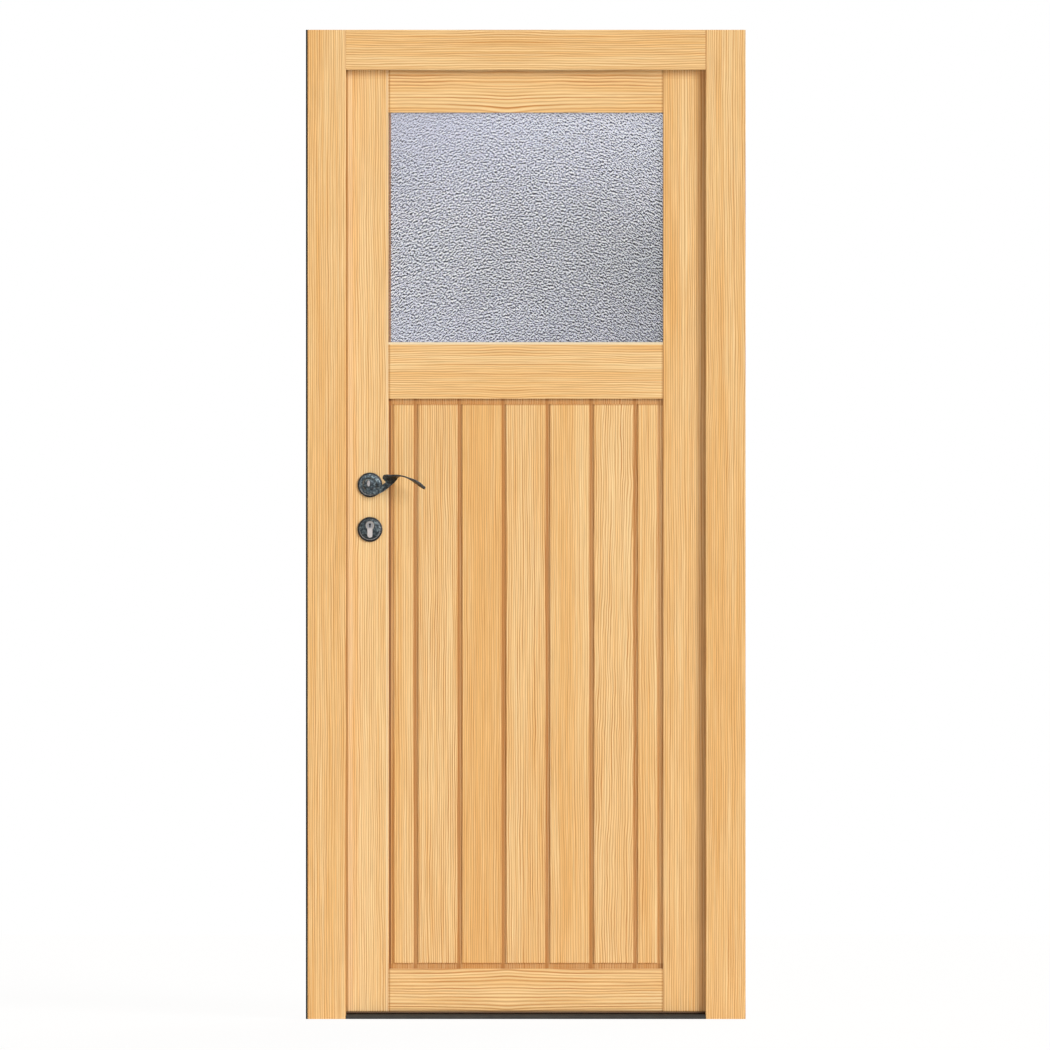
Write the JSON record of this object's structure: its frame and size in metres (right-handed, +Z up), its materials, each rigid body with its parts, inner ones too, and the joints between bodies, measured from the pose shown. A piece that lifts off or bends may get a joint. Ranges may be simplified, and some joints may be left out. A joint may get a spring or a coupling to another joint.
{
  "type": "glazed door",
  "caption": "Pine side-entrance door in its frame: obscure glazed light over a vertical board panel, forged iron lever handle, low threshold; leaf swings inwards.",
  "frame": {"origin": "on the floor, at the middle of the frame's width and depth, on the threshold's underside", "axes": "+X to the right seen from outside, +Y indoors, +Z up"},
  "size_m": [0.88, 0.185, 1.98],
  "materials": {
    "pine": "clear satin varnish",
    "black_rubber": "matt",
    "dark_aluminium": "dark anodised",
    "spacer_aluminium": "mill",
    "textured_glass": "rolled, pebbled texture",
    "clear_glass": "clear float",
    "steel": "zinc plated",
    "nickel": "satin nickel",
    "forged_iron": "blackened, hammered"
  },
  "bodies": {
    "frame": {"left_jamb": "pine", "right_jamb": "pine", "frame_head": "pine", "threshold": "dark_aluminium", "frame_seals": "black_rubber", "jamb_edge_strip": "black_rubber", "strike_plate": "steel", "hinge_frame_half_1": "steel", "hinge_frame_half_2": "steel", "hinge_frame_half_3": "steel"},
    "leaf": {"lock_stile": "pine", "hinge_stile": "pine", "top_rail": "pine", "middle_rail": "pine", "bottom_rail": "pine", "panel_board_1": "pine", "panel_board_2": "pine", "panel_board_3": "pine", "panel_board_4": "pine", "panel_board_5": "pine", "panel_board_6": "pine", "panel_board_7": "pine", "glazing_bead_top": "pine", "glazing_bead_bottom": "pine", "glazing_bead_left": "pine", "glazing_bead_right": "pine", "panel_bead_top": "pine", "panel_bead_bottom": "pine", "panel_bead_left": "pine", "panel_bead_right": "pine", "glazing_seal": "black_rubber", "glazing_spacer": "spacer_aluminium", "outer_pane": "textured_glass", "inner_pane": "clear_glass", "mortise_lock": "steel", "hinge_leaf_half_1": "steel", "hinge_leaf_half_2": "steel", "hinge_leaf_half_3": "steel", "lock_cylinder": "nickel", "handle_rose_outside": "forged_iron", "handle_rose_inside": "forged_iron", "key_rose_outside": "forged_iron", "key_rose_inside": "forged_iron"},
    "handle": {"lever_outside": "forged_iron", "lever_inside": "forged_iron", "handle_spindle": "steel"}
  },
  "joints": [
    {"name": "leaf_swing", "type": "hinge", "parent": "frame", "child": "leaf", "pos_m": [0.412, 0.047, 0.967], "axis": [0, 0, -1], "range_deg": [0, 170]},
    {"name": "handle_turn", "type": "hinge", "parent": "leaf", "child": "handle", "pos_m": [-0.312, 0.021, 1.069], "axis": [0, 1, 0], "range_deg": [0, 40], "stiffness_Nm_per_rad": 1.5, "springref_deg": -28.65}
  ]
}
